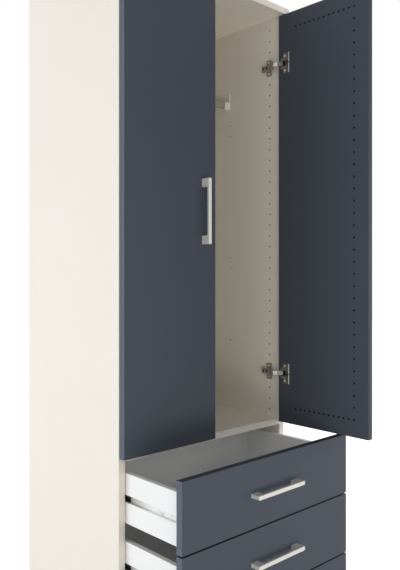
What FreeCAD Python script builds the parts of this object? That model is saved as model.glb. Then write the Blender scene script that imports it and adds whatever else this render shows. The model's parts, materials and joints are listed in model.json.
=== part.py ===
import FreeCAD, Part
import math
import os

from FreeCAD import Vector

os.makedirs("parts", exist_ok=True)

# Chifforobe: a tall narrow cabinet, wardrobe above and drawers below.
# Millimetres. +Z is up and the fronts face -Y. The origin is on the floor, in the middle of
# the plinth board: half way across the cabinet and half way through the board.
# The right-hand pieces are modelled, and the left-hand ones are mirrored in X = 0.

# Carcase
cabinet_width = 600.0
carcase_depth = 418.0
carcase_board = 18.0
plinth_height = 84.0
plinth_setback = 21.0
top_overhang = 22.0          # top panel in front of the carcase, past the doors
back_board = 3.0
back_inset = 12.0            # back panels in front of the sides' rear edges
groove_depth = 6.0
groove_clearance = 0.2
back_seam = 1.0              # gap between the two back panels, behind the shelf
panel_bevel = 0.8            # broken edges of the top panel

# Doors and drawer fronts
front_board = 18.0
front_gap = 1.5              # carcase edge to the back of a front
side_reveal = 1.5            # cabinet side to the edge of a front
door_gap = 3.0               # between the two doors
top_reveal = 3.0             # door to top panel
door_height = 1180.0
door_to_drawer = 2.0
drawer_count = 4
drawer_front_height = 156.5
drawer_front_gap = 3.5
bottom_lap = 1.5             # lowest front over the bottom panel
shelf_lap = 7.0              # top drawer front over the shelf
front_bevel = 0.7

# Drilling
hole_pitch = 32.0
hole_radius = 2.5
hole_depth = 11.0
drill_flat_count = 6         # flats of a drilled hole, in place of a circle
row_setback = 37.0           # front row of holes behind the carcase edge
middle_row_setback = 197.0
shelf_pin_holes = (8, 9)     # drilled round: the four in a rectangle take a shelf's pins
other_middle_holes = (21, 22, 29)
door_hole_radius = 2.0
door_hole_depth = 9.0
door_hole_margin = 40.0      # least distance from the column's end holes to the door's ends
door_row_holes = 13
door_row_pitch = hole_pitch / 2
door_row_start = 62.0        # first hole of a door row from the hinge edge

# Concealed hinges
hinge_from_door_top = 142.0
hinge_hole_step = 3.5        # first hole of the row above the upper hinge, in pitches
cup_radius = 17.5
cup_depth = 11.5
cup_wall = 1.2
cup_from_edge = 22.0         # cup centre from the door's hinge edge
cup_fit = 0.1
cup_slot_half = 7.5          # half height of the slot in the cup
flange_thickness = 1.0
flange_reach = 38.2          # straight edge of the flange from the door's hinge edge
flange_width = 21.2
flange_half = 28.8
flange_corner = 1.5
flange_lip = 4.4             # height of the lip along the flange's straight edge
flange_lip_wall = 1.2
cup_screw_from_edge = 22.5
cup_screw_half = 21.0
cup_screw_radius = 2.0
arm_pivot_inward = 20.6      # fixed pivot from the side panel
arm_pivot_back = 6.7         # fixed pivot behind the carcase edge
cup_pivot_from_edge = 12.1   # moving pivot from the door's hinge edge
cup_pivot_depth = 1.5        # moving pivot below the door's inner face
link_per_door_turn = -0.28   # link's turn for each degree of the door's turn on the link
link_half = 5.5
link_wall = 2.0
link_bow = 3.0
pin_radius = 1.5
pin_fit = 0.05
pin_flat_count = 12
link_eye = 2.7
eye_flat_count = 8
arm_eye = 3.4
arm_roof = 1.7               # arm's wall over the link's eye
arm_half = 8.2
arm_wall = 2.4
arm_front = 24.0             # arm's straight part starts this far behind the carcase edge
arm_end = 59.0
link_room = 6.8              # pocket for the link in the arm's end, from the fixed pivot
spine_height = 7.0
spine_half = 6.0
spine_front = 22.0
spine_end = 61.0
wing_front = 27.0            # front edge of the wings behind the carcase edge
wing_width = 17.0
wing_half = 23.3
wing_thickness = 4.2
wing_corner = 1.0
plate_screw_radius = 2.2
part_gap = 0.2               # between hinge pieces that sit close together
open_angle = 90.0            # right door, as it stands open

# Hanging rail
rail_height = 22.0
rail_width = 12.0
rail_wall = 1.2
rail_play = 0.3
rail_hole = 6                # hole that the rail hangs beside
rail_behind_row = 11.0       # rail's middle behind the middle row of holes
socket_wall = 2.2
socket_length = 18.0
stem_width = 7.0             # bracket's stem, flush with the socket's front
stem_thickness = 3.0
stem_above = 5.0             # stem past the next hole up
stem_below = 12.0
stem_corner = 2.0

# Handles
handle_length = 168.0
handle_width = 10.0
handle_reach = 26.0
handle_bar = 6.5
handle_leg = 22.0
handle_bevel = 0.8
door_handle_inset = 44.0     # door handle's middle from the door's free edge

# Drawer boxes
box_length = 325.0
box_wall = 13.0
box_side_height = 117.0
box_lift = 5.5               # box above the bottom edge of its front
box_gap = 2.0                # between box and carcase, each side
box_bevel = 0.6
floor_board = 3.0
floor_lift = 11.0
floor_groove = 6.0
drawer_pulled = 198.0        # drawers as they stand open

# Ball-bearing runners, seen end on: out from the carcase side, and up and down from the middle
runner_from_bottom = 57.5    # runner's middle above the bottom of the box side
runner_length = 300.0
runner_setback = 2.0
runner_sheet = 1.0
fixed_rail_half = 3.8
fixed_rail_depth = 8.0
slide_rail_half = 8.9
slide_rail_front = 2.6
slide_rail_back = 10.4
cage_half = 7.6
cage_inner_half = 4.1
cage_front = 3.0
cage_back = 9.1
cage_sheet = 0.8
cage_spare = 4.5             # rail left bare beside the cage, drawer right out
runner_travel = 210.0        # drawer right out
groove_fit = 0.2

# Places that follow
up = Vector(0, 0, 1)
half_width = cabinet_width / 2
side_face = half_width - carcase_board
front_y = -plinth_setback - carcase_board / 2
rear_y = front_y + carcase_depth
back_y = rear_y - back_inset - back_board
door_edge = half_width - side_reveal
front_back_y = front_y - front_gap
front_face_y = front_back_y - front_board
base_top = plinth_height + carcase_board
lowest_front = base_top - bottom_lap
drawer_pitch = drawer_front_height + drawer_front_gap
fronts_top = lowest_front + drawer_count * drawer_pitch - drawer_front_gap
shelf_bottom = fronts_top - shelf_lap
shelf_top = shelf_bottom + carcase_board
door_bottom = fronts_top + door_to_drawer
door_top = door_bottom + door_height
top_bottom = door_top + top_reveal
upper_hinge = door_top - hinge_from_door_top
hinge_span_holes = int((door_height - 2 * hinge_from_door_top) / hole_pitch)
hinge_heights = (upper_hinge, upper_hinge - hinge_span_holes * hole_pitch)
first_hole = upper_hinge + hinge_hole_step * hole_pitch
row_holes = int((first_hole - shelf_top) / hole_pitch) + 1
door_column_holes = int((door_height - 2 * door_hole_margin) / hole_pitch) + 1
rail_z = first_hole - rail_hole * hole_pitch
middle_row_y = front_y + middle_row_setback
rail_y = middle_row_y + rail_behind_row
arm_pivot = Vector(side_face - arm_pivot_inward, front_y + arm_pivot_back, 0)
cup_pivot = Vector(door_edge - cup_pivot_from_edge, front_back_y - cup_pivot_depth, 0)
link_share = link_per_door_turn / (1 + link_per_door_turn)
box_face = side_face - box_gap
box_inner = box_face - box_wall
box_front = front_back_y
box_rear = box_front + box_length
cage_length = runner_length - runner_travel - front_gap - cage_spare
cage_front_y = front_y + runner_setback + (runner_travel - drawer_pulled) / 2


def block(x0, x1, y0, y1, z0, z1):
    return Part.makeBox(x1 - x0, y1 - y0, z1 - z0, Vector(x0, y0, z0))


def rod(radius, base, top):
    return Part.makeCylinder(radius, (top - base).Length, base, top - base)


def mirrored(shape):
    return shape.mirror(Vector(0, 0, 0), Vector(1, 0, 0))


def many_sided(radius, base, top, flats):
    """Prism with flats in place of a round bar, where hundreds of facets would be wasted."""
    along = top - base
    across = Vector(0, 1, 0) if along.cross(up).Length < 1e-6 else up
    beside = along.cross(across)
    beside.normalize()
    corners = []
    for step in range(flats):
        turn = 2 * math.pi * (step + 0.5) / flats
        corners.append(base + across * (radius * math.cos(turn)) + beside * (radius * math.sin(turn)))
    return Part.Face(Part.makePolygon(corners + corners[:1])).extrude(along)


def six_sided(radius, base, top):
    return many_sided(radius, base, top, drill_flat_count)


def bevelled(shape, width):
    return shape.makeChamfer(width, shape.Edges)


def edges_along(shape, direction):
    """Straight edges of a shape that run along a direction."""
    found = []
    for edge in shape.Edges:
        run = edge.Vertexes[-1].Point - edge.Vertexes[0].Point
        if run.cross(direction).Length < 1e-6 * run.Length:
            found.append(edge)
    return found


def prism(points, height):
    """Solid between -height and +height in Z, over an outline in X and Y."""
    corners = [Vector(x, y, -height) for x, y in points]
    face = Part.Face(Part.makePolygon(corners + corners[:1]))
    return face.extrude(up * (2 * height))


def raised(shape, height):
    copy = shape.copy()
    copy.translate(up * height)
    return copy


def group(shapes):
    return Part.makeCompound(shapes)


def save(name, shape):
    shape.exportStep("parts/" + name + ".step")


# ---- Carcase ----

def hole_height(index):
    return first_hole - index * hole_pitch


def side_panel():
    panel = block(side_face, half_width, front_y, rear_y, 0, top_bottom)
    slot = block(
        side_face, side_face + groove_depth + groove_clearance,
        back_y - groove_clearance, back_y + back_board + groove_clearance,
        plinth_height, top_bottom,
    )
    inward = Vector(side_face, 0, 0)
    outward = Vector(side_face + hole_depth, 0, 0)
    row = [(row_setback, index) for index in range(row_holes)]
    row += [(middle_row_setback, index) for index in shelf_pin_holes + other_middle_holes]
    tools = [slot]
    for setback, index in row:
        drill = rod if index in shelf_pin_holes else six_sided
        place = Vector(0, front_y + setback, hole_height(index))
        tools.append(drill(hole_radius, inward + place, outward + place))
    return panel.cut(tools)


def top_panel():
    top = top_bottom + carcase_board
    panel = block(-half_width, half_width, front_y - top_overhang, rear_y, top_bottom, top)
    panel = bevelled(panel, panel_bevel)
    slot = block(
        -side_face - groove_depth, side_face + groove_depth,
        back_y - groove_clearance, back_y + back_board + groove_clearance,
        top_bottom, top_bottom + groove_depth + groove_clearance,
    )
    return panel.cut(slot)


def board_between_sides(bottom):
    return block(-side_face, side_face, front_y, back_y - groove_clearance,
                 bottom, bottom + carcase_board)


def back_panel(bottom, top):
    reach = side_face + groove_depth
    return block(-reach, reach, back_y, back_y + back_board, bottom, top)


def plinth(middle_y):
    half_board = carcase_board / 2
    return block(-side_face, side_face, middle_y - half_board, middle_y + half_board,
                 0, plinth_height)


seam = (shelf_bottom + shelf_top) / 2
save("right_side_panel", side_panel())
save("left_side_panel", mirrored(side_panel()))
save("top_panel", top_panel())
save("middle_shelf", board_between_sides(shelf_bottom))
save("bottom_panel", board_between_sides(plinth_height))
save("plinth_board", plinth(0))
save("rear_plinth_rail", plinth(rear_y - carcase_board / 2))
save("upper_back_panel", back_panel(seam + back_seam / 2, top_bottom + groove_depth))
save("lower_back_panel", back_panel(plinth_height, seam - back_seam / 2))


# ---- Hanging rail ----

def oval(grow, x0, x1):
    """Upright flat-sided oval bar along X, with the rail's outline grown on all sides."""
    radius = rail_width / 2 + grow
    rise = (rail_height - rail_width) / 2
    centre = Vector(x0, rail_y, rail_z)
    length = Vector(x1 - x0, 0, 0)
    bar = block(x0, x1, rail_y - radius, rail_y + radius, rail_z - rise, rail_z + rise)
    ends = [rod(radius, centre + up * side, centre + up * side + length)
            for side in (-rise, rise)]
    return bar.fuse(ends).removeSplitter()


def wardrobe_rail():
    reach = side_face - stem_thickness - rail_play
    return oval(0, -reach, reach).cut(oval(-rail_wall, -reach, reach))


def rail_bracket():
    """Hook-shaped bracket: a stem up the side panel, and a socket for the rail's end."""
    face = side_face - stem_thickness
    stem_y = rail_y - rail_width / 2 - rail_play - socket_wall
    stem = block(face, side_face, stem_y, stem_y + stem_width,
                 rail_z - stem_below, rail_z + hole_pitch + stem_above)
    stem = stem.makeChamfer(stem_corner, edges_along(stem, Vector(1, 0, 0)))
    socket = oval(rail_play + socket_wall, face - socket_length, side_face)
    hollow = oval(rail_play, face - socket_length, face)
    return stem.fuse(socket).cut(hollow).removeSplitter()


save("wardrobe_rail", wardrobe_rail())
save("rail_brackets", group([rail_bracket(), mirrored(rail_bracket())]))


# ---- Concealed hinges, doors shut ----

def from_side(inward, back, z=0.0):
    """Point measured from the side panel's face and the carcase's front edge."""
    return Vector(side_face - inward, front_y + back, z)


def from_door(inward, depth, z=0.0):
    """Point measured from the door's hinge edge, and down into its inner face."""
    return Vector(door_edge - inward, front_back_y - depth, z)


def span(one, other):
    """Block between two opposite corners."""
    low = [min(pair) for pair in zip(one, other)]
    high = [max(pair) for pair in zip(one, other)]
    return block(low[0], high[0], low[1], high[1], low[2], high[2])


def hinge_plate():
    wing = span(from_side(0, wing_front, -wing_half),
                from_side(wing_thickness, wing_front + wing_width, wing_half))
    wing = wing.makeChamfer(wing_corner, edges_along(wing, Vector(1, 0, 0)))
    spine = span(from_side(0, spine_front, -spine_half),
                 from_side(spine_height, spine_end, spine_half))
    screw = hole_pitch / 2
    holes = [six_sided(plate_screw_radius, from_side(0, row_setback, side * screw),
                       from_side(wing_thickness, row_setback, side * screw))
             for side in (-1, 1)]
    return wing.fuse(spine).cut(holes).removeSplitter()


def hinge_pin(pivot, half_length):
    return many_sided(pin_radius, pivot - up * half_length, pivot + up * half_length, pin_flat_count)


def hinge_arm():
    under = spine_height + part_gap
    over = under + arm_wall
    nose = arm_eye / 2
    under_roof = arm_pivot_inward + link_eye + part_gap
    over_roof = under_roof + arm_roof
    outline = [(under, arm_end), (over, arm_end), (over, arm_front + arm_wall),
               (over_roof, arm_pivot_back + nose), (over_roof, arm_pivot_back - arm_eye),
               (arm_pivot_inward - nose, arm_pivot_back - arm_eye),
               (arm_pivot_inward - arm_eye, arm_pivot_back - nose), (under, arm_front)]
    strap = prism([from_side(*point)[:2] for point in outline], arm_half)
    pin = hinge_pin(arm_pivot, arm_half)
    cheeks = [span(from_side(wing_thickness + part_gap, arm_front + arm_wall,
                             side * (spine_half + part_gap)),
                   from_side(over, arm_end, side * arm_half)) for side in (-1, 1)]
    half_gap = link_half + part_gap
    pocket = span(from_side(arm_pivot_inward - link_room, arm_pivot_back - link_room, -half_gap),
                  from_side(under_roof, arm_pivot_back + link_room, half_gap))
    return strap.fuse(cheeks).cut(pocket).fuse(pin).removeSplitter()


def hinge_link():
    """Bowed strap between the two pivots, with an eye round each pin."""
    run = cup_pivot - arm_pivot
    middle = arm_pivot + run / 2
    dip = run.cross(up)
    dip.normalize()
    half_wall = dip * (link_wall / 2)
    floor = up * -link_half
    outer = Part.Arc(arm_pivot + half_wall + floor, middle + dip * link_bow + half_wall + floor,
                     cup_pivot + half_wall + floor).toShape()
    inner = Part.Arc(cup_pivot - half_wall + floor, middle + dip * link_bow - half_wall + floor,
                     arm_pivot - half_wall + floor).toShape()
    ends = [Part.makeLine(cup_pivot + half_wall + floor, cup_pivot - half_wall + floor),
            Part.makeLine(arm_pivot - half_wall + floor, arm_pivot + half_wall + floor)]
    face = Part.Face(Part.Wire([outer, ends[0], inner, ends[1]]))
    strap = face.extrude(up * (2 * link_half))
    pivots = (arm_pivot, cup_pivot)
    eyes = [many_sided(link_eye, pivot + floor, pivot - floor, eye_flat_count) for pivot in pivots]
    bores = [rod(pin_radius + pin_fit, pivot + floor, pivot - floor) for pivot in pivots]
    return strap.fuse(eyes).cut(bores).removeSplitter()


def hinge_cup():
    centre = from_door(cup_from_edge, 0)
    deep = Vector(0, -1, 0)
    body = rod(cup_radius, centre, centre + deep * cup_depth)
    rim = rod(cup_radius + cup_wall, centre - deep * flange_thickness, centre)
    rim = rim.common(span(from_door(0, 0, -flange_half),
                          from_door(flange_reach, -flange_thickness, flange_half)))
    flange_start = flange_reach - flange_width
    cut_half = flange_half - flange_corner
    outline = [(flange_reach, flange_half), (flange_start + flange_corner, flange_half),
               (flange_start, cut_half), (flange_start, -cut_half),
               (flange_start + flange_corner, -flange_half), (flange_reach, -flange_half)]
    corners = [from_door(inward, 0, z) for inward, z in outline]
    flange = Part.Face(Part.makePolygon(corners + corners[:1])).extrude(deep * -flange_thickness)
    lip = span(from_door(flange_reach - flange_lip_wall, 0, -flange_half),
               from_door(flange_reach, -flange_lip, flange_half))
    bore = rod(cup_radius - cup_wall, centre - deep * flange_lip,
               centre + deep * (cup_depth - cup_wall))
    slot = span(from_door(0, -flange_lip, -cup_slot_half),
                from_door(flange_reach, cup_depth, cup_slot_half))
    screws = [six_sided(cup_screw_radius, from_door(cup_screw_from_edge, 0, side * cup_screw_half),
                        from_door(cup_screw_from_edge, -flange_thickness, side * cup_screw_half))
              for side in (-1, 1)]
    pin = hinge_pin(cup_pivot, cup_slot_half + cup_wall)
    shell = body.fuse([rim, flange, lip]).cut([bore.common(slot)] + screws)
    return shell.fuse(pin).removeSplitter()


def at_both_hinges(shape):
    return group([raised(shape, height) for height in hinge_heights])


# ---- Doors, shut ----

def drill_door(inward, height):
    return six_sided(door_hole_radius, from_door(inward, 0, height),
                     from_door(inward, door_hole_depth, height))


def door_panel():
    panel = block(door_gap / 2, door_edge, front_face_y, front_back_y, door_bottom, door_top)
    panel = bevelled(panel, front_bevel)
    middle = (door_bottom + door_top) / 2
    reach = (door_column_holes - 1) * hole_pitch / 2
    row_end = door_row_start + (door_row_holes - 1) * door_row_pitch
    tools = [rod(cup_radius + cup_fit, from_door(cup_from_edge, 0, height),
                 from_door(cup_from_edge, cup_depth + cup_fit, height))
             for height in hinge_heights]
    tools += [drill_door(row_end, middle - reach + index * hole_pitch)
              for index in range(door_column_holes)]
    tools += [drill_door(door_row_start + index * door_row_pitch, middle + side * reach)
              for index in range(door_row_holes - 1) for side in (-1, 1)]
    return panel.cut(tools)


def bow_handle():
    """Square bow handle along Z, on a front face at Y = 0, with its middle at the origin."""
    half = handle_length / 2
    bar_back = handle_bar - handle_reach
    outline = [(half, 0), (half, -handle_reach), (-half, -handle_reach), (-half, 0),
               (handle_leg - half, 0), (handle_leg - half, bar_back),
               (half - handle_leg, bar_back), (half - handle_leg, 0)]
    handle = prism(outline, handle_width / 2)
    seats = [edge for edge in handle.Edges
             if all(abs(vertex.Y) < 1e-6 for vertex in edge.Vertexes)]
    outer = [edge for edge in handle.Edges
             if not any(edge.isSame(seat) for seat in seats)]
    handle = handle.makeChamfer(handle_bevel, outer)
    handle.rotate(Vector(0, 0, 0), Vector(0, 1, 0), 90)
    return handle


def door_handle():
    handle = bow_handle()
    handle.translate(Vector(door_gap / 2 + door_handle_inset, front_face_y,
                            (door_bottom + door_top) / 2))
    return handle


def turned_link(shape):
    """A link as it stands when the right door is open."""
    copy = shape.copy()
    copy.rotate(arm_pivot, up, link_share * open_angle)
    return copy


def turned_door(shape):
    """A piece on the door as it stands when the right door is open."""
    pivot = turned_link(Part.Vertex(cup_pivot)).Point
    copy = shape.copy()
    copy.rotate(cup_pivot, up, open_angle)
    copy.translate(pivot - cup_pivot)
    return copy


plates = at_both_hinges(hinge_plate())
arms = at_both_hinges(hinge_arm())
links = at_both_hinges(hinge_link())
cups = at_both_hinges(hinge_cup())
save("right_hinge_plates", plates)
save("left_hinge_plates", mirrored(plates))
save("right_hinge_arms", arms)
save("left_hinge_arms", mirrored(arms))
save("right_hinge_links", turned_link(links))
save("left_hinge_links", mirrored(links))
save("right_hinge_cups", turned_door(cups))
save("left_hinge_cups", mirrored(cups))
save("right_door_panel", turned_door(door_panel()))
save("left_door_panel", mirrored(door_panel()))
save("right_door_handle", turned_door(door_handle()))
save("left_door_handle", mirrored(door_handle()))


# ---- Drawers ----

def channel(outer, inner, shut_end, open_end, sheet, y0, y1, middle):
    """C channel along Y, seen end on as two legs and a web, out from the carcase side.

    outer and inner are the half heights of the legs. The web is at shut_end.
    """
    low = min(shut_end, open_end)
    high = max(shut_end, open_end)
    solid = block(side_face - high, side_face - low, y0, y1, middle - outer, middle + outer)
    if shut_end < open_end:
        hollow = (side_face - high, side_face - low - sheet)
    else:
        hollow = (side_face - high + sheet, side_face - low)
    return solid.cut(block(hollow[0], hollow[1], y0, y1, middle - inner, middle + inner))


def fixed_rail(middle):
    start = front_y + runner_setback
    return channel(fixed_rail_half, fixed_rail_half - runner_sheet, 0, fixed_rail_depth,
                   runner_sheet, start, start + runner_length, middle)


def slide_rail(middle):
    start = box_front + runner_setback
    return channel(slide_rail_half, slide_rail_half - runner_sheet, slide_rail_back,
                   slide_rail_front, runner_sheet, start, start + runner_length, middle)


def ball_cage(middle):
    """Cage of the balls between the two rails: it travels half as far as the drawer."""
    return channel(cage_half, cage_inner_half, cage_back, cage_front, cage_sheet,
                   cage_front_y, cage_front_y + cage_length, middle)


def box_side(bottom):
    side = block(box_inner, box_face, box_front, box_rear, bottom, bottom + box_side_height)
    top_edges = [edge for edge in edges_along(side, Vector(0, 1, 0))
                 if edge.Vertexes[0].Z > bottom + box_side_height / 2]
    side = side.makeChamfer(box_bevel, top_edges)
    middle = bottom + runner_from_bottom
    half = slide_rail_half + groove_fit
    runner_groove = block(side_face - slide_rail_back - groove_fit, box_face,
                          box_front, box_rear, middle - half, middle + half)
    floor_slot = block(box_inner, box_inner + floor_groove + groove_clearance,
                       box_front, box_rear, bottom + floor_lift - groove_clearance,
                       bottom + floor_lift + floor_board + groove_clearance)
    return side.cut([runner_groove, floor_slot])


def box_back(bottom):
    return block(-box_inner, box_inner, box_rear - box_wall, box_rear,
                 bottom + floor_lift + floor_board + groove_clearance, bottom + box_side_height)


def box_floor(bottom):
    reach = box_inner + floor_groove
    return block(-reach, reach, box_front, box_rear,
                 bottom + floor_lift, bottom + floor_lift + floor_board)


def drawer_front(bottom):
    front = block(-door_edge, door_edge, front_face_y, front_back_y,
                  bottom, bottom + drawer_front_height)
    return bevelled(front, front_bevel)


def drawer_handle(bottom):
    handle = bow_handle()
    handle.rotate(Vector(0, 0, 0), Vector(0, 1, 0), 90)
    handle.translate(Vector(0, front_face_y, bottom + drawer_front_height / 2))
    return handle


def pulled(shape):
    """A drawer piece as it stands when its drawer is pulled open."""
    copy = shape.copy()
    copy.translate(Vector(0, -drawer_pulled, 0))
    return copy


fixed_rails = []
for index in range(drawer_count):
    name = "drawer_%d" % (index + 1)
    front_bottom = lowest_front + (drawer_count - 1 - index) * drawer_pitch
    box_bottom = front_bottom + box_lift
    runner_middle = box_bottom + runner_from_bottom
    fixed_rails.append(fixed_rail(runner_middle))
    slides = [slide_rail(runner_middle), mirrored(slide_rail(runner_middle))]
    cages = [ball_cage(runner_middle), mirrored(ball_cage(runner_middle))]
    save(name + "_front", pulled(drawer_front(front_bottom)))
    save(name + "_handle", pulled(drawer_handle(front_bottom)))
    save(name + "_right_side", pulled(box_side(box_bottom)))
    save(name + "_left_side", pulled(mirrored(box_side(box_bottom))))
    save(name + "_back", pulled(box_back(box_bottom)))
    save(name + "_floor", pulled(box_floor(box_bottom)))
    save(name + "_slide_rails", pulled(group(slides)))
    save(name + "_ball_cages", group(cages))

save("right_fixed_rails", group(fixed_rails))
save("left_fixed_rails", mirrored(group(fixed_rails)))
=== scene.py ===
# %% [markdown]
# # Finishing a chifforobe in Blender
# A chifforobe is a wardrobe and a chest of drawers in one tall cabinet. Its boards, hinges and runners
# come ready made as an engineering model, which this lesson never moves or reshapes. What is left is
# what makes it look real: the surface of each board and metal, the small screws and stampings, and the
# light of a studio.

# %% Load the cabinet
import json
import math

import bpy
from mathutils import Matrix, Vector


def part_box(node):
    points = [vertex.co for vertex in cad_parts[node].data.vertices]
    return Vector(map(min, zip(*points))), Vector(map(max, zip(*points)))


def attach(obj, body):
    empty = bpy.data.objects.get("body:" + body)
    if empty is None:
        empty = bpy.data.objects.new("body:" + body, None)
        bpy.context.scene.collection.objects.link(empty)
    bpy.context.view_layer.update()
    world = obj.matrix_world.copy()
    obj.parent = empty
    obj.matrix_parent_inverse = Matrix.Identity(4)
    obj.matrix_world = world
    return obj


MM = 0.001
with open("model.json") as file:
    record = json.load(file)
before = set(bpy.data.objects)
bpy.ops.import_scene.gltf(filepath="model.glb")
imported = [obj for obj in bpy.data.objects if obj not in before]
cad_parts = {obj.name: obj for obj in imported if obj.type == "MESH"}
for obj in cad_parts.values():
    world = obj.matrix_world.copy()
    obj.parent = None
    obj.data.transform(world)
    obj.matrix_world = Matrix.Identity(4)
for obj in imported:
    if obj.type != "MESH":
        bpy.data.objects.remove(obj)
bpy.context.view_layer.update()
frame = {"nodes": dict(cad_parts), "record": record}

# %% [markdown]
# ## Millimetres
# Blender and the model work in metres, and a cabinet maker in millimetres. The places and sizes below
# are read off the model or measured as a maker would, so most are in millimetres until the last step.


# %% A piece's box in millimetres
def box_in_mm(node):
    """Lowest and highest corner of one of the model's pieces, in mm."""
    return [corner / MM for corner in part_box(node)]


print("The left side panel ends", round(box_in_mm("left_side_panel")[1].z), "mm above the floor")

# %% [markdown]
# ## Colours
# Paint makers give colours as sRGB hex codes, and a shader wants linear light. The two aren't in
# proportion: a grey half way up the sRGB scale gives back only a fifth of the light. One function turns
# the first into the second, so that every colour below is written as its code.


# %% From hex codes to linear light
def linear(code, alpha=1.0):
    """An sRGB hex code as linear red, green, blue and alpha."""
    channels = [int(code[at:at + 2], 16) / 255 for at in (1, 3, 5)]
    bent = [c / 12.92 if c <= 0.04045 else ((c + 0.055) / 1.055) ** 2.4 for c in channels]
    return (*bent, alpha)


print("A grey of #808080 is", round(linear("#808080")[0], 3), "in linear light")

# %% [markdown]
# ## Nodes
# Finishes, fittings and the studio's light are all node trees here. One helper adds a node to any of
# them: it sets the node's own settings, then fills each input with a value or joins it to another
# node's output. Every finish starts from Object coordinates. The model's meshes hold their own place,
# so a pattern on those is in real metres, and it stays on its piece when a door swings.


# %% Add a node, start a material
def add(tree, kind, inputs=None, **settings):
    """A node of any kind, with its inputs given as values or as other nodes' outputs."""
    made = tree.nodes.new(kind)
    for name, value in settings.items():
        setattr(made, name, value)
    for name, value in (inputs or {}).items():
        if isinstance(value, bpy.types.NodeSocket):
            tree.links.new(value, made.inputs[name])
        else:
            made.inputs[name].default_value = value
    return made


def new_material(name):
    """An empty material, its node tree, and Object coordinates in that tree."""
    material = bpy.data.materials.new(name)
    material.use_nodes = True
    tree = material.node_tree
    tree.nodes.clear()
    place = add(tree, "ShaderNodeTexCoord").outputs["Object"]
    return material, tree, place


print("Ready to build node trees")

# %% [markdown]
# ## Two near tones
# No real surface is one flat colour. Print, plating and paint all drift between two tones so near that
# nobody could name the difference, yet a picture without it looks drawn. A noise texture mixes the
# two, and its scale is set by how far apart light and dark patches lie.

# %% A colour that drifts
NOISE_LOW, NOISE_HIGH = 0.3, 0.7   # nearly all of a noise texture's values lie between these


def two_tones(tree, place, light, dark, apart, detail=2.0):
    """A colour between two near ones, with patches that far apart."""
    patches = add(tree, "ShaderNodeTexNoise",
                  {"Vector": place, "Scale": 1 / apart, "Detail": detail})
    mixed = add(tree, "ShaderNodeMixRGB", {
        "Fac": patches.outputs["Fac"], "Color1": linear(light), "Color2": linear(dark),
    })
    return mixed.outputs["Color"]


print("Noise textures are read from", NOISE_LOW, "to", NOISE_HIGH)

# %% [markdown]
# ## Places on a door
# The left door is shut and the right one stands open at a right angle, so a hinge cup has quite
# different coordinates on each. On the door itself it has one place: so far in from the hinged edge, so
# far out of the inner face, so high above the floor. For the first two, each door gets an axis, where
# on it the measure starts, and which way it runs. They are read off the box round the door's panel.

# %% A door's own measures
X_AXIS, Y_AXIS, Z_AXIS = range(3)
DOOR_MEASURES = {}
low, high = box_in_mm("left_door_panel")
DOOR_MEASURES["left"] = {"inward": (X_AXIS, low.x, 1), "out": (Y_AXIS, high.y, 1)}
low, high = box_in_mm("right_door_panel")
DOOR_MEASURES["right"] = {"inward": (Y_AXIS, high.y, -1), "out": (X_AXIS, low.x, -1)}
DOOR_FOOT, DOOR_HEAD = low.z, high.z


def on_door(side, inward, out, up):
    """A place in mm, from its distances on a door in mm."""
    place = Vector((0, 0, up))
    for measure, distance in (("inward", inward), ("out", out)):
        axis, start, way = DOOR_MEASURES[side][measure]
        place[axis] = start + way * distance
    return place


print("The doors reach from", round(DOOR_FOOT), "to", round(DOOR_HEAD), "mm above the floor")

# %% [markdown]
# ## Bare chipboard in a hole
# Where a drill or a saw has gone into a faced board, brown chipboard shows. Rather than cut the board's
# mesh into zones, the material asks whether a point lies deeper than the thin face on all three axes of
# the board's box. Only the walls of holes and grooves do.

# %% Deeper than the face
FACE_DEPTH = 0.9 * MM      # anything deeper than this inside a board is bare chipboard


def inside_board(tree, place, box):
    """1 where a point is deeper than the face of the board that fills this box."""
    low, high = box
    centre = (low + high) / 2
    inner = (high - low) / 2 - Vector((FACE_DEPTH,) * 3)
    moved = add(tree, "ShaderNodeVectorMath", {0: place, 1: centre}, operation="SUBTRACT")
    folded = add(tree, "ShaderNodeVectorMath", {0: moved.outputs[0]}, operation="ABSOLUTE")
    left = add(tree, "ShaderNodeVectorMath", {0: folded.outputs[0], 1: inner},
               operation="SUBTRACT")
    axes = add(tree, "ShaderNodeSeparateXYZ", {0: left.outputs[0]})
    widest = add(tree, "ShaderNodeMath", {0: axes.outputs[0], 1: axes.outputs[1]},
                 operation="MAXIMUM")
    widest = add(tree, "ShaderNodeMath", {0: widest.outputs[0], 1: axes.outputs[2]},
                 operation="MAXIMUM")
    return add(tree, "ShaderNodeMath", {0: widest.outputs[0], 1: 0.0},
               operation="LESS_THAN").outputs[0]


print("Faces are taken to be", round(FACE_DEPTH / MM, 1), "mm deep")

# %% [markdown]
# ## Painted shade round a hole
# On the doors a dark ring of painted shade is laid round each hole. The holes are counted from one
# corner of the door's inner face, at the cabinet maker's pitch of 32 mm, or half of it in the two close
# rows. A row is straight and even, so a few sums replace a list of holes: round a point's distance
# along the row to the nearest hole, keep to the row's own length, and ask how far that hole is away.

# %% The nearest hole of a row
SHADE_RING_RADIUS = 3.0 * MM     # painted shade reaches this far from a door hole's middle
WIDE_PITCH = 32
CLOSE_PITCH = 16
ROWS_FROM_ENDS = 46        # from a door's foot and head to its lowest and highest holes
COLUMN_INWARD = 254        # the upright row, where the level rows end too
LEVEL_ROWS_INWARD = 62     # where the level rows start


# Mask of the ring of painted shade round each hole of a row
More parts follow.
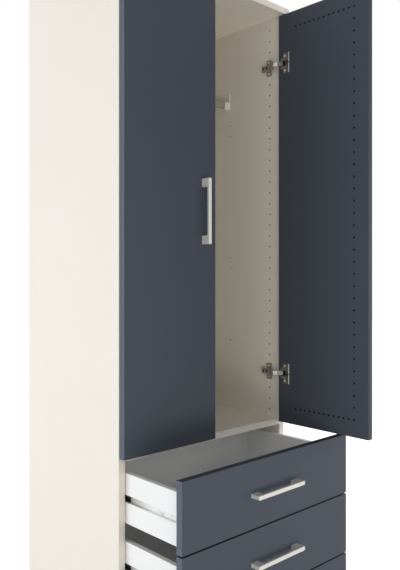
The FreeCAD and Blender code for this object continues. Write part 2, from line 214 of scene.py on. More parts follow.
def shade_ring_round_row(tree, place, ends, pitch):
    """1 where a point is close to a hole of a row along X, Y or Z, given by its end holes in mm."""
    first, last = sorted((end * MM for end in ends), key=sum)
    step = (last - first).normalized() * pitch * MM
    along = add(tree, "ShaderNodeVectorMath", {0: place, 1: first}, operation="SUBTRACT")
    nearest = add(tree, "ShaderNodeVectorMath", {0: along.outputs[0], 1: step / 2},
                  operation="ADD")
    for operation, value in (("SNAP", step), ("MAXIMUM", (0, 0, 0)), ("MINIMUM", last - first)):
        nearest = add(tree, "ShaderNodeVectorMath", {0: nearest.outputs[0], 1: value},
                      operation=operation)
    away = add(tree, "ShaderNodeVectorMath", {0: along.outputs[0], 1: nearest.outputs[0]},
               operation="DISTANCE")
    return add(tree, "ShaderNodeMath", {0: away.outputs["Value"], 1: SHADE_RING_RADIUS},
               operation="LESS_THAN").outputs[0]


def hole_rows(side):
    """A door's rows of holes, each as its two end holes in mm and its pitch."""
    heights = (DOOR_FOOT + ROWS_FROM_ENDS, DOOR_HEAD - ROWS_FROM_ENDS)
    rows = [([on_door(side, COLUMN_INWARD, 0, up) for up in heights], WIDE_PITCH)]
    for up in heights:
        ends = [on_door(side, inward, 0, up) for inward in (LEVEL_ROWS_INWARD, COLUMN_INWARD)]
        rows.append((ends, CLOSE_PITCH))
    return rows


for ends, pitch in hole_rows("left"):
    print("A row of", round((ends[1] - ends[0]).length / pitch) + 1, "holes,", pitch, "mm apart")

# %% [markdown]
# ## Chipboard
# The core is wood chips pressed with glue. Its colour is darkened almost to black here, as painted
# shade deep in the holes and grooves. It shows there and in the painted shade rings round the door
# holes, so both tests are joined before the colours are mixed.

# %% Chipboard, darkened as painted shade, where the face is gone
CHIP_SIZE = 1.2 * MM
# Chipboard brown darkened almost to black: painted shade in holes and grooves
CHIPBOARD_IN_SHADE = ("#2E241A", "#17120D")


def bared_with_painted_shade(tree, place, face, box, rows):
    """The colour of a board's face, with chipboard darkened as painted shade where it is cut, and in
    the painted shade rings round door holes.
    """
    core = two_tones(tree, place, *CHIPBOARD_IN_SHADE, apart=CHIP_SIZE)
    bare = inside_board(tree, place, box)
    for ends, pitch in rows:
        shade_ring = shade_ring_round_row(tree, place, ends, pitch)
        bare = add(tree, "ShaderNodeMath", {0: bare, 1: shade_ring}, operation="MAXIMUM").outputs[0]
    shown = add(tree, "ShaderNodeMixRGB", {"Fac": bare, "Color1": face, "Color2": core})
    return shown.outputs["Color"]


print("Chips are drawn", round(CHIP_SIZE / MM, 1), "mm long")

# %% [markdown]
# ## Faced board
# The carcase is chipboard with a printed paper soaked in melamine resin pressed onto it, and the fronts
# have a matt foil instead. The press plate leaves a fine pearl in the surface, grains about a
# millimetre across, so the sheen breaks up without being rough. A quick noise texture drives both the
# roughness and the bump.

# %% Board finish
PEARL_GRAIN = 1.6 * MM
DRIFT = 260 * MM           # how far apart light and dark patches of the print lie
BOARD_GLOSS_SPREAD = 0.05


def faced_board(name, light, dark, roughness, specular=0.5, pearl=0.03 * MM, drilled=None,
                rows=()):
    """Chipboard with a printed or foiled face. drilled is the board's box, if it has holes, and
    rows are its rows of holes, with rings of painted shade."""
    material, tree, place = new_material(name)
    colour = two_tones(tree, place, light, dark, apart=DRIFT, detail=3.0)
    if drilled:
        colour = bared_with_painted_shade(tree, place, colour, drilled, rows)
    grain = add(tree, "ShaderNodeTexNoise",
                {"Vector": place, "Scale": 1 / PEARL_GRAIN, "Detail": 2.0})
    dull = add(tree, "ShaderNodeMapRange", {
        "Value": grain.outputs["Fac"], "From Min": NOISE_LOW, "From Max": NOISE_HIGH,
        "To Min": roughness - BOARD_GLOSS_SPREAD, "To Max": roughness + BOARD_GLOSS_SPREAD,
    })
    bump = add(tree, "ShaderNodeBump",
               {"Height": grain.outputs["Fac"], "Distance": pearl, "Strength": 0.6})
    surface = add(tree, "ShaderNodeBsdfPrincipled", {
        "Base Color": colour, "Roughness": dull.outputs["Result"],
        "Specular IOR Level": specular, "Normal": bump.outputs["Normal"],
    })
    add(tree, "ShaderNodeOutputMaterial", {"Surface": surface.outputs["BSDF"]})
    return material


print("The pearl has grains of", round(PEARL_GRAIN / MM, 1), "mm")

# %% [markdown]
# ## The cabinet's boards
# Most boards share a finish with their like. The side panels and doors are drilled, and where bare
# chipboard shows depends on the board's own box, so each of the four has a finish to itself.

# %% Board colours
MELAMINE = {"light": "#F2ECE2", "dark": "#EFE9DE", "roughness": 0.5}
SLATE_FOIL = {"light": "#4B515C", "dark": "#474C57", "roughness": 0.62, "specular": 0.12}
finishes = {
    "cream_board": faced_board("cream_melamine", **MELAMINE),
    "back_board": faced_board("cream_lacquered_hardboard", "#EFE9DD", "#ECE5D8", roughness=0.6),
    "blue_front": faced_board("slate_blue_foil", **SLATE_FOIL),
    "drawer_white": faced_board("white_foil", "#F6F6F5", "#F3F3F2", roughness=0.35, pearl=0),
    "drawer_floor": faced_board("white_lacquered_hardboard", "#FAFAF7", "#F6F6F3",
                                roughness=0.55),
}
own_finish = {}
for side in ("left", "right"):
    panel, door = side + "_side_panel", side + "_door_panel"
    own_finish[panel] = faced_board("cream_melamine_%s_side" % side, **MELAMINE,
                                    drilled=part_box(panel))
    own_finish[door] = faced_board("slate_blue_foil_%s_door" % side, **SLATE_FOIL,
                                   drilled=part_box(door), rows=hole_rows(side))
print("Made", len(finishes) + len(own_finish), "board finishes")

# %% [markdown]
# ## Metal
# The bow handles are satin nickel: brushed along their length, then plated and lightly blasted, so the
# highlight spreads across the brushing. The hinges are pressed steel with a duller nickel plate, and
# the rail is satin zinc. Brushing is a noise texture stretched thirty times along one axis, which is
# cheaper than an anisotropic shader.

# %% Metal finish
SCRATCH = 0.5 * MM         # real brushing is finer: this is as fine as a picture can show
STRETCH = 30.0
PLATE_CLOUD = 25 * MM      # how far apart light and dark clouds of the plating lie
METAL_GLOSS_SPREAD = 0.06


def metal(name, light, dark, roughness, brushed_along=None, relief=0.01 * MM, bare=1.0):
    """Metal, brushed along an axis or not at all. bare is less than 1 under lacquer."""
    material, tree, place = new_material(name)
    colour = two_tones(tree, place, light, dark, apart=PLATE_CLOUD)
    squeeze = [1.0, 1.0, 1.0]
    if brushed_along is not None:
        squeeze[brushed_along] = 1 / STRETCH
    stretched = add(tree, "ShaderNodeMapping", {"Vector": place, "Scale": squeeze})
    scratch = add(tree, "ShaderNodeTexNoise", {
        "Vector": stretched.outputs["Vector"], "Scale": 1 / SCRATCH, "Detail": 2.0,
    })
    dull = add(tree, "ShaderNodeMapRange", {
        "Value": scratch.outputs["Fac"], "From Min": NOISE_LOW, "From Max": NOISE_HIGH,
        "To Min": roughness - METAL_GLOSS_SPREAD, "To Max": roughness + METAL_GLOSS_SPREAD,
    })
    bump = add(tree, "ShaderNodeBump",
               {"Height": scratch.outputs["Fac"], "Distance": relief, "Strength": 0.5})
    surface = add(tree, "ShaderNodeBsdfPrincipled", {
        "Base Color": colour, "Metallic": bare,
        "Roughness": dull.outputs["Result"], "Normal": bump.outputs["Normal"],
    })
    add(tree, "ShaderNodeOutputMaterial", {"Surface": surface.outputs["BSDF"]})
    return material


print("Brush marks are", round(SCRATCH * STRETCH / MM), "mm long")

# %% [markdown]
# ## The cabinet's metals
# Plated furniture fittings are lacquered, and the lacquer takes most of the bare metal's mirror away,
# so all but the runners' bare zinc are set less than wholly metallic. The doors' handles stand upright,
# so their brushing runs along Z, and the drawers' lie level, so theirs runs along X. The doors' handles
# are also a lighter, less metallic copy of the drawers' satin nickel, as painted light.

# %% Metal colours
finishes.update({
    "satin_nickel": metal("satin_nickel_across", "#D5D2CC", "#CFCCC5", roughness=0.42,
                          brushed_along=X_AXIS, bare=0.35),
    "hinge_steel": metal("nickel_plated_hinge_steel", "#A5A298", "#98958B", roughness=0.4,
                         bare=0.25),
    "link_steel": metal("bright_nickel_link", "#D2D1CC", "#C9C8C2", roughness=0.35, bare=0.45),
    # Painted shade: the arm screws are dark to stand for the shade in their slots
    "painted_shade_screw_steel": metal("dark_screw_painted_shade", "#3A362E", "#2E2A24", roughness=0.4, bare=0.6),
    "rail_steel": metal("satin_zinc_rail", "#B9B8B2", "#AFAEA8", roughness=0.38,
                        brushed_along=X_AXIS, bare=0.7),
    "runner_steel": metal("bright_zinc_runner", "#B9BABA", "#ABACAD", roughness=0.28,
                          brushed_along=Y_AXIS),
})
# Painted light: a lighter, less metallic copy of the satin nickel for the doors' handles
upright_nickel_painted_lighter = metal("satin_nickel_upright", "#EAE8E2", "#E6E4DD", roughness=0.5,
                       brushed_along=Z_AXIS, bare=0.15)
for side in ("left", "right"):
    own_finish[side + "_door_handle"] = upright_nickel_painted_lighter
print("Made", len(finishes) + len(own_finish), "finishes so far")

# %% [markdown]
# ## Powder coat and plastic
# The drawer runners have a white powder coat, which melts and flows in the oven and keeps a faint
# orange peel. The rail's brackets and the cages' noses are moulded plastic with a spark-eroded skin,
# finer but as regular. Either is a plain colour under a fine skin of bumps.

# %% Coated and moulded finishes
SHADE_CLOUD = 40 * MM      # how far apart the two near shades of the colour lie


def moulded(name, light, dark, roughness, grain, relief):
    """Plastic or powder coat: a plain colour with a fine skin of bumps."""
    material, tree, place = new_material(name)
    colour = two_tones(tree, place, light, dark, apart=SHADE_CLOUD)
    skin = add(tree, "ShaderNodeTexNoise", {"Vector": place, "Scale": 1 / grain, "Detail": 1.0})
    bump = add(tree, "ShaderNodeBump",
               {"Height": skin.outputs["Fac"], "Distance": relief, "Strength": 0.5})
    surface = add(tree, "ShaderNodeBsdfPrincipled", {
        "Base Color": colour, "Roughness": roughness, "Normal": bump.outputs["Normal"],
    })
    add(tree, "ShaderNodeOutputMaterial", {"Surface": surface.outputs["BSDF"]})
    return material


SPARK_SKIN = {"grain": 0.8 * MM, "relief": 0.01 * MM}
ORANGE_PEEL = {"grain": 1.5 * MM, "relief": 0.02 * MM}
finishes.update({
    "runner_white": moulded("white_powder_coat", "#F0F0EF", "#ECECEA", 0.42, **ORANGE_PEEL),
    "bracket_plastic": moulded("cream_moulded_plastic", "#E6E0D4", "#E0DACD", 0.45,
                               **SPARK_SKIN),
    "cage_plastic": moulded("black_cage_plastic", "#1C1C1D", "#161617", 0.4, **SPARK_SKIN),
})
print("Made", len(finishes) + len(own_finish), "finishes so far")

# %% [markdown]
# ## Painted light and shade
# Some light and shade is painted into the colours below: lighter and darker edges, bright ends and
# lips, and dark hollows. A touch lays a colour over a finish wherever a point is past all the levels
# given with it. A level is an axis, and where on it the colour starts and where it is full. If it is
# full at the smaller value, the colour lies below the level.


# %% Lay a colour over part of a finish
def touched(material, *touches):
    """Lay colours over a finish. A touch is a colour, its strength, and its levels in mm."""
    tree = material.node_tree
    nodes = {made.type: made for made in tree.nodes}
    base = nodes["BSDF_PRINCIPLED"].inputs["Base Color"]
    axes = add(tree, "ShaderNodeSeparateXYZ", {0: nodes["TEX_COORD"].outputs["Object"]}).outputs
    for code, strength, *levels in touches:
        share = strength
        for axis, start, full in levels:
            passed = add(tree, "ShaderNodeMapRange", {
                "Value": axes[axis], "From Min": start * MM, "From Max": full * MM,
            })
            share = add(tree, "ShaderNodeMath", {0: passed.outputs["Result"], 1: share},
                        operation="MULTIPLY").outputs[0]
        mixed = add(tree, "ShaderNodeMixRGB", {
            "Fac": share, "Color1": base.links[0].from_socket, "Color2": linear(code),
        })
        tree.links.new(mixed.outputs["Color"], base)
    return material


BAND_START, BAND_FULL = 0.4, 0.3   # mm from an edge's plane: a band colours just the edge


def band(axis, edge, inward):
    """The level of a band on an edge at that place in mm. inward is 1 or -1, into the board."""
    return axis, edge + inward * BAND_START, edge + inward * BAND_FULL


print("A band starts", BAND_START, "mm inside its edge")

# %% [markdown]
# ## Painted edges
# On the left door and the drawer fronts, the upright edges are painted a shade lighter as painted
# highlight, and the top edges a shade darker as painted shade. The right door's free edge is painted
# darker too, and the front edge of the left side panel a darker cream, both as painted shade. The
# drawers' bow handles are sawn to length, and their ends are painted bright as painted highlight.

# %% Painted light and shade on edges and handle ends
# Painted highlight on the upright edges of the fronts
UPRIGHT_EDGE_HIGHLIGHT = "#606772"
# Painted shade along the top edges of the fronts
TOP_EDGE_SHADE = "#3A3F47"
# Painted shade on the open right door's free edge
FREE_EDGE_SHADE = "#424852"
# Painted shade on the left side panel's front edge
CREAM_EDGE_SHADE = "#E4DED3"
# Painted highlight, on the drawer handles' ends and on the hinge cups' lips
PAINTED_HIGHLIGHT = "#FBFAF6"
DRAWERS = ["drawer_%d" % number for number in range(1, 5)]
fronts_with_painted_edges = ["left_door_panel"] + [drawer + "_front" for drawer in DRAWERS]
for node in fronts_with_painted_edges:
    low, high = box_in_mm(node)
    if node not in own_finish:
        own_finish[node] = faced_board("slate_blue_foil_" + node, **SLATE_FOIL)
    touched(own_finish[node],
            (UPRIGHT_EDGE_HIGHLIGHT, 1.0, band(X_AXIS, low.x, 1)),
            (UPRIGHT_EDGE_HIGHLIGHT, 1.0, band(X_AXIS, high.x, -1)),
            (TOP_EDGE_SHADE, 1.0, band(Z_AXIS, high.z, -1)))

forward_edges = {"left_side_panel": CREAM_EDGE_SHADE, "right_door_panel": FREE_EDGE_SHADE}
for node, tone in forward_edges.items():
    edge = box_in_mm(node)[0].y
    touched(own_finish[node], (tone, 1.0, band(Y_AXIS, edge, 1)))

# Painted highlight on both ends of the drawer handles
low, high = box_in_mm("drawer_1_handle")
touched(finishes["satin_nickel"], (PAINTED_HIGHLIGHT, 1.0, band(X_AXIS, low.x, 1)),
        (PAINTED_HIGHLIGHT, 1.0, band(X_AXIS, high.x, -1)))
# Counts the boards that get painted light and shade on their edges
print("Banded", len(fronts_with_painted_edges) + len(forward_edges), "boards")

# %% [markdown]
# ## Painted light on the hinges and runners
# The lip of a hinge cup, on the side away from the hinged edge, is painted bright as painted highlight.
# The bowl is painted dark as painted shade, and so is the end of the link that turns in it. The cups'
# touches are given in the door's own measures, so both doors get the same. A runner is painted darker
# towards the back, as painted shade where it goes into the cabinet.

# %% Painted light and shade on the hinges and runners
CUP_STEEL = {"light": "#88867D", "dark": "#7D7B72", "roughness": 0.4, "bare": 0.25}
LINK_STEEL = {"light": "#EDECE8", "dark": "#E4E3DE", "roughness": 0.35, "bare": 0.45}
# Painted shade in the bowls of the hinge cups
PAINTED_BOWL_SHADE = "#1C1A17"
# Painted shade on the end of the link that turns in the cup
PAINTED_LINK_SHADE = "#74726A"
# Painted shade on the runners, darker towards the back
PAINTED_RUNNER_SHADE = "#7D7C79"
# Levels in mm: where a colour starts, and where it is full
LIP_NEAR, LIP_FAR = (36.7, 36.9), (38.4, 38.3)     # inward from the hinged edge
LIP_RISE = (3.3, 3.1)                              # out of the door's inner face
BOWL_REACH, BOWL_DEPTH = (17.5, 14.5), (-0.1, -0.7)
LINK_SHADE_START, LINK_SHADE_FULL = 14.2, 11.2                 # from the link's end in the cup
RUNNER_SHADE_Y = (-120, -40)


def past(side, measure, start, full):
    """A level in a door's own measures."""
    axis, zero, way = DOOR_MEASURES[side][measure]
    return axis, zero + way * start, zero + way * full


for side in ("right", "left"):
    cups, links = side + "_hinge_cups", side + "_hinge_links"
    # Painted highlight on the cup's lip and painted shade in its bowl; painted shade on the link's end
    own_finish[cups] = touched(
        metal(side + "_hinge_cup_steel", **CUP_STEEL),
        (PAINTED_HIGHLIGHT, 1.0, past(side, "inward", *LIP_NEAR), past(side, "inward", *LIP_FAR),
         past(side, "out", *LIP_RISE)),
        (PAINTED_BOWL_SHADE, 0.9, past(side, "inward", *BOWL_REACH), past(side, "out", *BOWL_DEPTH)))
    axis = DOOR_MEASURES[side]["inward"][0]
    end = box_in_mm(links)[0][axis]
    own_finish[links] = touched(metal(side + "_hinge_link_steel", **LINK_STEEL),
                                (PAINTED_LINK_SHADE, 1.0, (axis, end + LINK_SHADE_START, end + LINK_SHADE_FULL)))
# Painted shade on the runners' moving rails, growing towards the back
touched(finishes["runner_white"], (PAINTED_RUNNER_SHADE, 0.7, (Y_AXIS, *RUNNER_SHADE_Y)))
print("Made", len(finishes) + len(own_finish), "finishes in all")

# %% [markdown]
# ## Put the finishes on
# The model's record says which slot each piece takes its finish from, so one loop dresses the whole
# cabinet. A piece with a finish of its own takes that one.

# %% Dress every piece
for part in frame["record"]["subparts"]:
    node = part["node"]
    finish = own_finish.get(node, finishes[part["material_slot"]])
    frame["nodes"][node].material_slots[0].material = finish

# %% [markdown]
# ## Shapes that stand on points
# The small fittings come in sets, so each kind is one node tree that puts its shape on every point of a
# mesh. Each point carries the direction its fitting faces, and the sizes are inputs of the tree. A tree
# ends by making the copies real and giving them their finish.


# %% Start and end a tree
def new_tree(name, *inputs):
    """Geometry tree with a finish and named lengths as inputs, and its input node's sockets."""
    tree = bpy.data.node_groups.new(name, "GeometryNodeTree")
    tree.interface.new_socket("Geometry", in_out="INPUT", socket_type="NodeSocketGeometry")
    for label in inputs:
        tree.interface.new_socket(label, in_out="INPUT", socket_type="NodeSocketFloat")
    tree.interface.new_socket("Finish", in_out="INPUT", socket_type="NodeSocketMaterial")
    tree.interface.new_socket("Geometry", in_out="OUTPUT", socket_type="NodeSocketGeometry")
    return tree, add(tree, "NodeGroupInput").outputs


def stand_on_points(tree, given, shape, turn):
    """Stand a copy of shape on each point, with its Z along the point's facing, and end the tree."""
    facing = add(tree, "GeometryNodeInputNamedAttribute", {"Name": "facing"},
                 data_type="FLOAT_VECTOR")
    upright_turn = add(tree, "ShaderNodeCombineXYZ", {"Z": turn})
    spun = add(tree, "FunctionNodeEulerToRotation", {0: upright_turn.outputs[0]})
    aimed = add(tree, "FunctionNodeAlignRotationToVector",
                {"Rotation": spun.outputs[0], "Vector": facing.outputs[0]}, axis="Z")
    copies = add(tree, "GeometryNodeInstanceOnPoints", {
        "Points": given["Geometry"], "Instance": shape, "Rotation": aimed.outputs[0],
    })
    real = add(tree, "GeometryNodeRealizeInstances", {"Geometry": copies.outputs[0]})
    dressed = add(tree, "GeometryNodeSetMaterial",
                  {"Geometry": real.outputs[0], "Material": given["Finish"]})
    add(tree, "NodeGroupOutput", {"Geometry": dressed.outputs[0]})
    print("The tree", tree.name, "has", len(tree.nodes), "nodes")


# %% [markdown]
# ## Screw heads
# Hinges are screwed on with cross-recess wood screws. The head is turned as a flat cone, and the recess
# is punched into it by a cross-shaped tool. The same two steps make it here: a cone of 24 sides, less
# two crossed blocks. No two screws stop at the same angle, so each gets a turn of its own from a fixed
# seed. A quarter turn covers all of them, because a cross looks the same after that.

# %% Tree of cross-recess screw heads
HEAD_SIDES = 24
HEAD_TOP = 0.6             # radius of the head's flat top, against its full radius
RECESS_WIDTH = 0.26        # width of a slot of the cross, against the head's radius
TURN_SEED = 7
screws, given = new_tree("screw_heads", "Head Radius", "Head Height")
radius, height = given["Head Radius"], given["Head Height"]
top, slot_width = (
    add(screws, "ShaderNodeMath", {0: radius, 1: share}, operation="MULTIPLY").outputs[0]
    for share in (HEAD_TOP, RECESS_WIDTH)
)
cone = add(screws, "GeometryNodeMeshCone", {
    "Vertices": HEAD_SIDES, "Radius Top": top, "Radius Bottom": radius, "Depth": height,
})
head = add(screws, "GeometryNodeMeshBoolean", {0: cone.outputs["Mesh"]}, operation="DIFFERENCE")
lifted = add(screws, "ShaderNodeCombineXYZ", {"Z": height})
for wide, deep in ((radius, slot_width), (slot_width, radius)):
    size = add(screws, "ShaderNodeCombineXYZ", {"X": wide, "Y": deep, "Z": height})
    blade = add(screws, "GeometryNodeMeshCube", {"Size": size.outputs[0]})
    punch = add(screws, "GeometryNodeTransform",
                {"Geometry": blade.outputs["Mesh"], "Translation": lifted.outputs[0]})
    screws.links.new(punch.outputs[0], head.inputs[1])
chance = add(screws, "FunctionNodeRandomValue", {3: math.pi / 2, "Seed": TURN_SEED})
stand_on_points(screws, given, head.outputs[0], chance.outputs[1])

# %% [markdown]
# ## From a tree to a plain mesh
# A tree runs as a modifier on a mesh that is nothing but points. Its inputs are set by the sockets'
# identifiers, the result is taken as a plain mesh, and the modifier goes. Screws move with what they
# are screwed into, so each set of fittings rides one body of the model.


# %% Make one set of fittings
def fitted(name, tree, places, sizes, body, slot, finish=None):
    """One plain mesh for a body: the tree's shape on each (place, facing), places in mm."""
    mesh = bpy.data.meshes.new(name)
    mesh.from_pydata([Vector(place) * MM for place, _ in places], [], [])
    facing = mesh.attributes.new("facing", "FLOAT_VECTOR", "POINT")
    for point, (_, direction) in zip(facing.data, places):
        point.vector = direction
    fitting = bpy.data.objects.new(name, mesh)
    bpy.context.scene.collection.objects.link(fitting)
    maker = fitting.modifiers.new("maker", "NODES")
    maker.node_group = tree
    for item in tree.interface.items_tree:
        if item.name in sizes:
            maker[item.identifier] = sizes[item.name] * MM
        if item.name == "Finish":
            maker[item.identifier] = finishes[finish or slot]
    depsgraph = bpy.context.evaluated_depsgraph_get()
    made = bpy.data.meshes.new_from_object(fitting.evaluated_get(depsgraph), depsgraph=depsgraph)
    fitting.modifiers.remove(maker)
    fitting.data = made
    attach(fitting, body)
    print(name, "has", len(made.polygons), "faces on", len(places), "points")


# %% [markdown]
# ## Fit the hinge screws
# Each hinge has two screws through the wings of its plate and two more down the arm, for setting the
# door. Arm and plate stay with the carcase. Their faces lie inside the boxes round them, so the places
# below are read off the model.

# %% Screws on plates and arms
HINGE_FROM_ENDS = 142      # from a door's head and foot to the middle of a hinge
HINGE_HEIGHTS = (DOOR_HEAD - HINGE_FROM_ENDS, DOOR_FOOT + HINGE_FROM_ENDS)
WING_FACE = 277.8          # X of the plate's wings
WING_SCREW_Y = 7
WING_SCREWS_UP = (-16, 16)     # from the hinge's middle
ARM_FACE = 272.4           # X of the arm's flat
ARM_SCREWS_Y = (10, 23)
HINGE_SCREW = {"Head Radius": 3.3, "Head Height": 1.3}
ARM_SCREW = {"Head Radius": 3.6, "Head Height": 0.8}
on_wings = [((side * WING_FACE, WING_SCREW_Y, hinge + up), (-side, 0, 0))
            for side in (-1, 1) for hinge in HINGE_HEIGHTS for up in WING_SCREWS_UP]
on_arms = [((side * ARM_FACE, back, hinge), (-side, 0, 0))
           for side in (-1, 1) for hinge in HINGE_HEIGHTS for back in ARM_SCREWS_Y]
fitted("hinge_plate_screws", screws, on_wings, HINGE_SCREW, "carcase", "link_steel")
# The arm screws take a dark finish, as painted shade in their slots
fitted("hinge_arm_screws", screws, on_arms, ARM_SCREW, "carcase", "hinge_steel", "painted_shade_screw_steel")

# %% [markdown]
# ## Cup screws
# The cup is pressed into the door and held by a flange with a screw above and below. It goes with the
# door, so each door gets its own screws to carry, placed by the door's own measures. They face out of
# the door's inner side.

# %% Screws beside the cups
CUP_SCREW_INWARD = 22.5
CUP_FLANGE = 1.0           # the flange stands this far out of the door's inner face
CUP_SCREWS_UP = (-21, 21)
for side in ("right", "left"):
    axis, _, way = DOOR_MEASURES[side]["out"]
    facing = Vector()
    facing[axis] = way
    beside_cups = [(on_door(side, CUP_SCREW_INWARD, CUP_FLANGE, hinge + up), facing)
                   for hinge in HINGE_HEIGHTS for up in CUP_SCREWS_UP]
    fitted(side + "_cup_screws", screws, beside_cups, HINGE_SCREW, side + "_door", "link_steel")

# %% [markdown]
# ## Stampings on the runners
# Between its screws, a runner's moving rail has a half-round tongue lanced out of its web to lock the
# ball cage. The tongue is a half circle of thick wire here, pressed a little into the steel: all that
# shows of it is the ridge, where the cut went through the paint to bare metal.

# %% Tree of lanced tongues
RIDGE_STEPS, WIRE_SIDES = 14, 8
tongues, given = new_tree("lanced_tongue", "Ridge Radius", "Ridge Thickness")
arc = add(tongues, "GeometryNodeCurveArc", {
    "Resolution": RIDGE_STEPS, "Radius": given["Ridge Radius"],
    "Start Angle": math.pi / 2, "Sweep Angle": math.pi,
})
wire = add(tongues, "GeometryNodeCurvePrimitiveCircle",
           {"Resolution": WIRE_SIDES, "Radius": given["Ridge Thickness"]})
ridge = add(tongues, "GeometryNodeCurveToMesh",
            {"Curve": arc.outputs[0], "Profile Curve": wire.outputs[0], "Fill Caps": True})
stand_on_points(tongues, given, ridge.outputs[0], 0.0)

# %% [markdown]
# ## Fit the runners
# Two countersunk screws, painted over with the rail, hold the moving rail to the drawer side. Screws
# and tongue are measured back from the rail's front end. The hind screw stands just clear of the ball
# cage's nose when the drawer is shut.

# %% Fittings on the drawer rails
WEB_FACE = 272.6           # X of the moving rail's web
RAIL_SCREWS_BACK = (41, 82.5)
TONGUE_BACK = 73
RAIL_SCREW = {"Head Radius": 4.2, "Head Height": 1}
TONGUE = {"Ridge Radius": 5.6, "Ridge Thickness": 1}
for drawer in DRAWERS:
    low, high = box_in_mm(drawer + "_slide_rails")
    level = (low.z + high.z) / 2
    screws_at = [((side * WEB_FACE, low.y + back, level), (side, 0, 0))
                 for side in (-1, 1) for back in RAIL_SCREWS_BACK]
    tongues_at = [((side * WEB_FACE, low.y + TONGUE_BACK, level), (side, 0, 0))
                  for side in (-1, 1)]
    fitted(drawer + "_rail_screws", screws, screws_at, RAIL_SCREW, drawer, "runner_white")
    fitted(drawer + "_lanced_tongues", tongues, tongues_at, TONGUE, drawer, "runner_white",
           "runner_steel")

# %% [markdown]
# ## Noses of the ball cages
# A ball cage ends in a nose of black plastic that keeps dirt out and meets the stop. It has the cage's
# own C-shaped outline, so that it still slides over the fixed rail, and with the drawer out it peeps
# from the cabinet's front edge. The outline is drawn once, end on, and swept along the runner. The cage
# travels half as far as the drawer, and the nose goes with it.


# %% Cage noses
def swept(name, outlines, start, end):
    """Bars along Y over outlines in X and Z, in mm, with their faces turned outward."""
    points, faces = [], []
    for outline in outlines:
        first, count = len(points), len(outline)
        points += [(x, y, z) for y in (start, end) for x, z in outline]
        near = [first + at for at in range(count)]
        far = [first + count + at for at in range(count)]
        faces += [(near[at - 1], near[at], far[at], far[at - 1]) for at in range(count)]
        faces += [near[::-1], far]
    mesh = bpy.data.meshes.new(name)
    mesh.from_pydata([Vector(point) * MM for point in points], [], faces)
    bar = bpy.data.objects.new(name, mesh)
    bpy.context.scene.collection.objects.link(bar)
    return bar


NOSE_LENGTH = 19
NOSE_DEPTH = 6.1           # across the runner, from the C's back to its open side
NOSE_WALL = 0.8            # the C's back
NOSE_ARM = 3.5             # each arm of the C
for drawer in DRAWERS:
    low, high = box_in_mm(drawer + "_ball_cages")
    mouth, back = high.x, high.x - NOSE_DEPTH
    hollow = back + NOSE_WALL
    right = [(mouth, high.z), (back, high.z), (back, low.z), (mouth, low.z),
             (mouth, low.z + NOSE_ARM), (hollow, low.z + NOSE_ARM),
             (hollow, high.z - NOSE_ARM), (mouth, high.z - NOSE_ARM)]
    left = [(-x, z) for x, z in right[::-1]]
    noses = swept(drawer + "_cage_noses", (right, left), low.y - NOSE_LENGTH, low.y)
    noses.data.materials.append(finishes["cage_plastic"])
    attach(noses, drawer + "_cages")
print("Added the noses of", 2 * len(DRAWERS), "cages")

# %% [markdown]
# ## A light studio
# The cabinet stands on a pale floor between white walls of light. A camera sees the walls as pure
# white, and so do mirrors, but they light the boards more gently, and the dark ceiling hardly at all.
# So top edges come out dark, and the inside is brighter near its roof, where light comes up from the
# floor.

# %% World
WALL_LIGHT = 0.8
CEILING_LIGHT = 0.27
WALL_TOP, CEILING_EDGE = 0.35, 0.65    # height of a direction, from 0 level to 1 straight up


def seen_directly(tree):
    """1 for rays that show the background itself: the camera's, and those in metal or glass."""
    path = add(tree, "ShaderNodeLightPath")
    seen = add(tree, "ShaderNodeMath",
               {0: path.outputs["Is Camera Ray"], 1: path.outputs["Is Glossy Ray"]},
               operation="MAXIMUM")
    return add(tree, "ShaderNodeMath",
               {0: seen.outputs[0], 1: path.outputs["Is Transmission Ray"]},
               operation="MAXIMUM").outputs[0]


world = bpy.data.worlds.new("studio")
bpy.context.scene.world = world
world.use_nodes = True
sky = world.node_tree
sky.nodes.clear()
outward = add(sky, "ShaderNodeTexCoord").outputs["Generated"]
direction = add(sky, "ShaderNodeSeparateXYZ", {0: outward})
wall_or_ceiling = add(sky, "ShaderNodeMapRange", {
    "Value": direction.outputs["Z"], "From Min": WALL_TOP, "From Max": CEILING_EDGE,
    "To Min": WALL_LIGHT, "To Max": CEILING_LIGHT,
})
strength = add(sky, "ShaderNodeMapRange", {
    "Value": seen_directly(sky), "To Min": wall_or_ceiling.outputs["Result"], "To Max": 1.0,
})
glow = add(sky, "ShaderNodeBackground",
           {"Color": linear("#FFFFFF"), "Strength": strength.outputs["Result"]})
add(sky, "ShaderNodeOutputWorld", {"Surface": glow.outputs["Background"]})
print("The walls light the cabinet at", WALL_LIGHT, "and the ceiling at", CEILING_LIGHT)

# %% [markdown]
# ## The floor
# A matt floor takes the cabinet's shadow. A little glow, seen only directly, lifts it to white where
# nothing shades it. The lamps stand near the cabinet, so the glow grows with the distance from it, and
# the far floor runs into the white walls without a horizon.

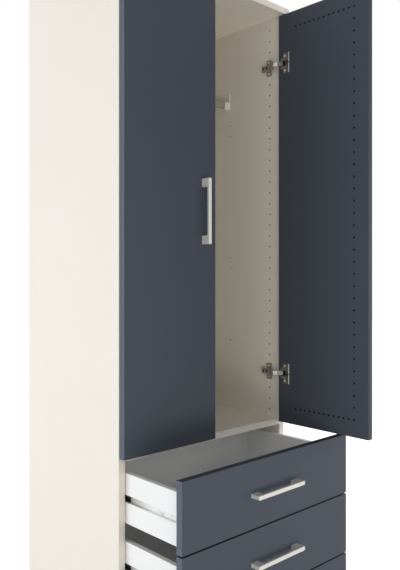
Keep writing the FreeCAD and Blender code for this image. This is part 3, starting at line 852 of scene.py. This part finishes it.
# %% Floor
FLOOR_REACH = 12.0
FLOOR_DROP = 0.5 * MM      # the floor lies this far below the cabinet's foot
GLOW_NEAR, GLOW_FAR = 0.42, 0.85
GLOW_GROWS = (0.6, 1.9)    # metres from the origin, which is by the middle of the cabinet's front
corners = [(-FLOOR_REACH, -FLOOR_REACH), (FLOOR_REACH, -FLOOR_REACH),
           (FLOOR_REACH, FLOOR_REACH), (-FLOOR_REACH, FLOOR_REACH)]
floor_mesh = bpy.data.meshes.new("floor")
floor_mesh.from_pydata([(x, y, -FLOOR_DROP) for x, y in corners], [], [(0, 1, 2, 3)])
floor = bpy.data.objects.new("floor", floor_mesh)
bpy.context.scene.collection.objects.link(floor)
floor_finish, ground, across_floor = new_material("pale_studio_floor")
matt = add(ground, "ShaderNodeBsdfDiffuse", {"Color": linear("#E4E4E3")})
distance = add(ground, "ShaderNodeVectorMath", {0: across_floor}, operation="LENGTH")
growing = add(ground, "ShaderNodeMapRange", {
    "Value": distance.outputs["Value"], "From Min": GLOW_GROWS[0], "From Max": GLOW_GROWS[1],
    "To Min": GLOW_NEAR, "To Max": GLOW_FAR,
})
lift = add(ground, "ShaderNodeMapRange",
           {"Value": seen_directly(ground), "To Max": growing.outputs["Result"]})
glow = add(ground, "ShaderNodeEmission",
           {"Color": linear("#FFFFFF"), "Strength": lift.outputs["Result"]})
both = add(ground, "ShaderNodeAddShader", {0: matt.outputs[0], 1: glow.outputs[0]})
add(ground, "ShaderNodeOutputMaterial", {"Surface": both.outputs[0]})
floor_mesh.materials.append(floor_finish)
print("The floor is", 2 * FLOOR_REACH, "m across")

# %% [markdown]
# ## Three soft boxes
# The big one stands beside the cabinet and a little behind it, and lights its left side strongly. One
# lies low in front and throws light up into the wardrobe and on the drawer fronts. The third reaches
# the drawer fronts from the right, where the open door shades the closed one from it.


# %% Lamps
def soft_box(name, place, target, width, height, watts, tint):
    """A rectangular lamp at place that faces target, all in metres."""
    light = bpy.data.lights.new(name, "AREA")
    light.shape = "RECTANGLE"
    light.size = width
    light.size_y = height
    light.energy = watts
    light.color = tint
    lamp = bpy.data.objects.new(name, light)
    lamp.location = place
    aim = Vector(target) - Vector(place)
    lamp.rotation_euler = aim.to_track_quat("-Z", "Y").to_euler()
    bpy.context.scene.collection.objects.link(lamp)
    print("The", name, "gives", watts, "W from", width, "x", height, "m")


COOL = (0.96, 1.0, 1.06)
WARM = (1.06, 1.0, 0.9)
NEUTRAL = (1.0, 1.0, 1.0)
soft_box("side_soft_box", (-3.2, 1.3, 1.2), (-0.3, 0.1, 1.1), 2.4, 2.6, watts=50, tint=COOL)
soft_box("low_soft_box", (-0.6, -2.0, 0.1), (0.0, 0.0, 1.1), 2.0, 0.8, watts=24, tint=WARM)
soft_box("right_soft_box", (3.2, -0.9, 1.1), (0.0, -0.2, 0.8), 2.4, 1.6, watts=45, tint=NEUTRAL)

# %% [markdown]
# ## The camera
# Product pictures of furniture keep upright edges upright. The camera therefore looks dead level, from
# a little above the middle of the cabinet, and the lens is shifted a touch to frame it.

# %% Camera
CAMERA_PLACE = Vector((-1207.9, -1252.8, 1173.7)) * MM
HEADING = 47.477           # degrees from the X axis to the way the camera looks
FOCAL_LENGTH = 41.20       # mm, on a sensor 36 mm wide
SHIFT_X, SHIFT_Y = 0.02375, -0.02265
lens = bpy.data.cameras.new("camera")
lens.lens = FOCAL_LENGTH
lens.shift_x = SHIFT_X
lens.shift_y = SHIFT_Y
camera = bpy.data.objects.new("camera", lens)
camera.location = CAMERA_PLACE
camera.rotation_euler = (math.pi / 2, 0, math.radians(HEADING - 90))
bpy.context.scene.collection.objects.link(camera)
bpy.context.scene.camera = camera
bpy.context.scene.view_settings.view_transform = "Standard"
print("The camera stands", round(CAMERA_PLACE.xy.length, 2), "m from the cabinet's front")
